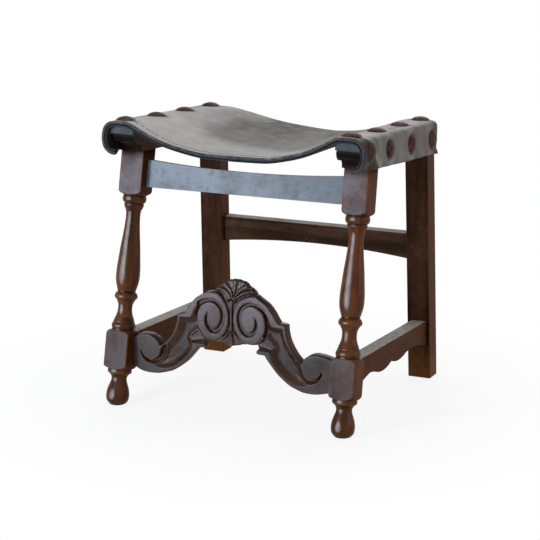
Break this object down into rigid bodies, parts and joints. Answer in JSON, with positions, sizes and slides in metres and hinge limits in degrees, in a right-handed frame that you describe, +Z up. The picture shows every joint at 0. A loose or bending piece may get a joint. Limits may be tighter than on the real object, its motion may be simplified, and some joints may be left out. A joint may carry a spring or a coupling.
{
  "type": "camel saddle stool",
  "caption": "Camel saddle stool: a slung dark leather seat nailed over its side rails, turned front legs, plain rear posts, a carved front stretcher with scrolls and a shell.",
  "frame": {"origin": "on the floor, in the middle of the stool's width and depth", "axes": "+Z up, -Y towards the carved front, +X to the right as seen from the front"},
  "size_m": [0.4476, 0.3936, 0.4586],
  "materials": {
    "oak": "dark waxed oak",
    "seat_hide": "worn dark grey hide",
    "lining_hide": "brown hide, rough side",
    "antique_nails": "red-brown antique patina"
  },
  "bodies": {
    "root": {"front_apron": "oak", "front_stretcher": "oak", "left_front_leg": "oak", "left_rear_leg": "oak", "left_side_nails": "antique_nails", "left_side_stretcher": "oak", "left_top_nails": "antique_nails", "left_top_rail": "oak", "rear_rail": "oak", "right_front_leg": "oak", "right_rear_leg": "oak", "right_side_nails": "antique_nails", "right_side_stretcher": "oak", "right_top_nails": "antique_nails", "right_top_rail": "oak", "seat_leather": "seat_hide", "seat_lining": "lining_hide"}
  },
  "joints": []
}
